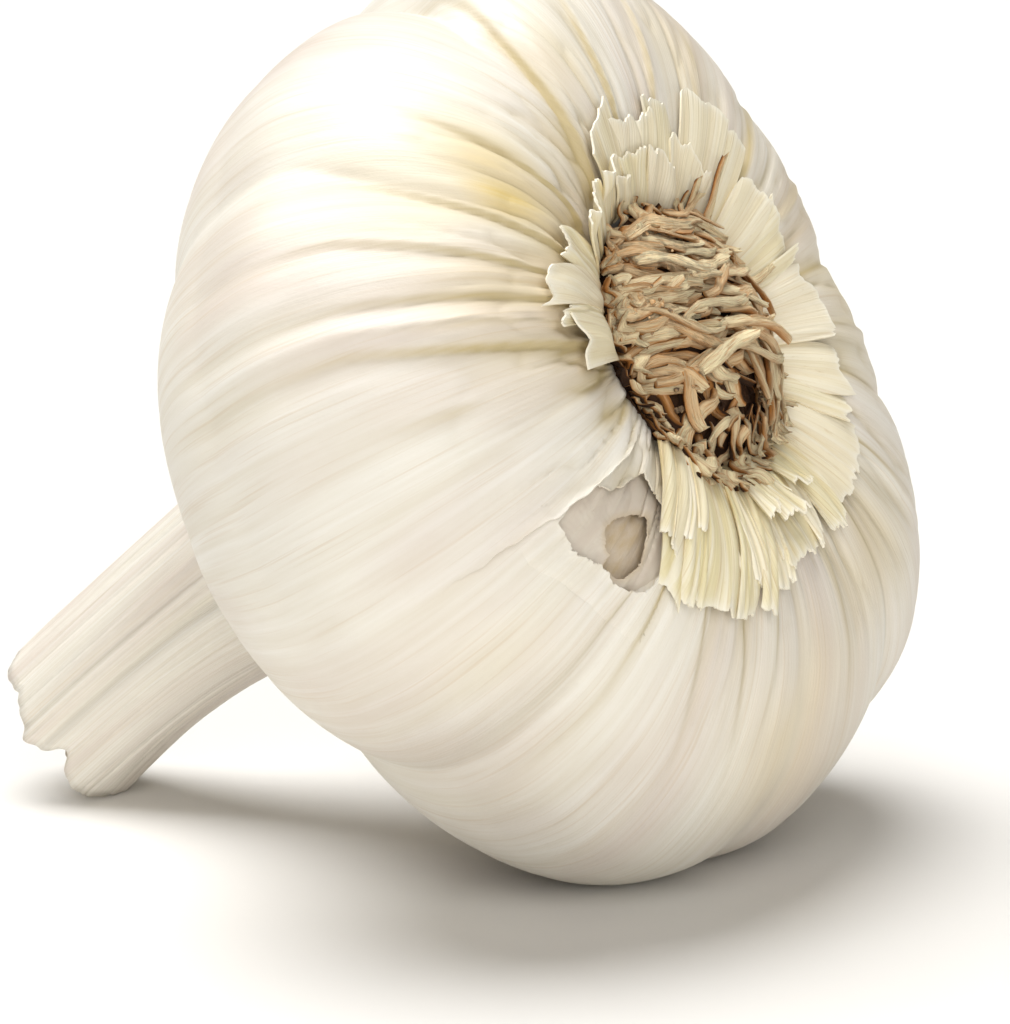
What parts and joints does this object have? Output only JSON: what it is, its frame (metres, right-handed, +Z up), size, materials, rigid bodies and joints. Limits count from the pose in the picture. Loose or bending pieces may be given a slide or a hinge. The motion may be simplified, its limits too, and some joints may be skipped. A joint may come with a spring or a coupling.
{
  "type": "garlic bulb",
  "caption": "Whole dried garlic bulb lying on its side: swollen cloves in papery skin, a cut stem, and a root end with dried roots and torn skin.",
  "frame": {"origin": "centre of the bounding box, on the surface that the bulb lies on", "axes": "+Z up from the surface; +X along the bulb's own axis as seen from above, from the stem tip towards the root end"},
  "size_m": [0.0682, 0.0687, 0.0644],
  "materials": {
    "bulb_skin": "satin, papery skin with fine veins",
    "root": "matt, dry and fibrous",
    "torn_skin": "satin, thin and translucent"
  },
  "bodies": {
    "root": {"bulb": "bulb_skin", "root_plate": "root", "skin_flap_top": "torn_skin", "skin_flap_upper_left": "torn_skin", "skin_flap_left": "torn_skin", "skin_flap_fan": "torn_skin", "skin_flap_lower_right": "torn_skin", "skin_flap_right": "torn_skin", "skin_flap_far": "torn_skin", "skin_tongue": "torn_skin"}
  },
  "joints": []
}
